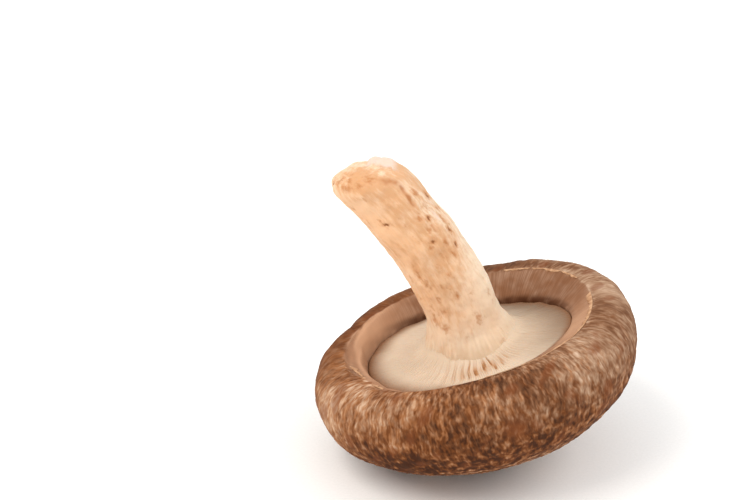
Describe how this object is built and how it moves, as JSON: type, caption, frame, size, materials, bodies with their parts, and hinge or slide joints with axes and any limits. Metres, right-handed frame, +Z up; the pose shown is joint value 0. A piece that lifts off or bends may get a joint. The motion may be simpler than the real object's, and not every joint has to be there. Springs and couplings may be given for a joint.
{
  "type": "shiitake mushroom",
  "caption": "Fresh shiitake mushroom lying on its brown, fibrous cap with the inrolled margin, the cream gills and the bent stem turned up.",
  "frame": {"origin": "on the small flat spot of the cap's crown that the mushroom lies on, below its weight, at the level of the surface it lies on", "axes": "+Z up from the surface, as the mushroom lies, -X the way the cap and the stem lean, +Y away from the viewer of the picture"},
  "size_m": [0.0692, 0.0724, 0.0648],
  "materials": {
    "cap_skin": "dry fibrous skin, matt",
    "gill_flesh": "matt, moist flesh",
    "stem_skin": "matt, finely fibrous"
  },
  "bodies": {
    "root": {"cap": "cap_skin", "gills": "gill_flesh", "stem": "stem_skin"}
  },
  "joints": []
}
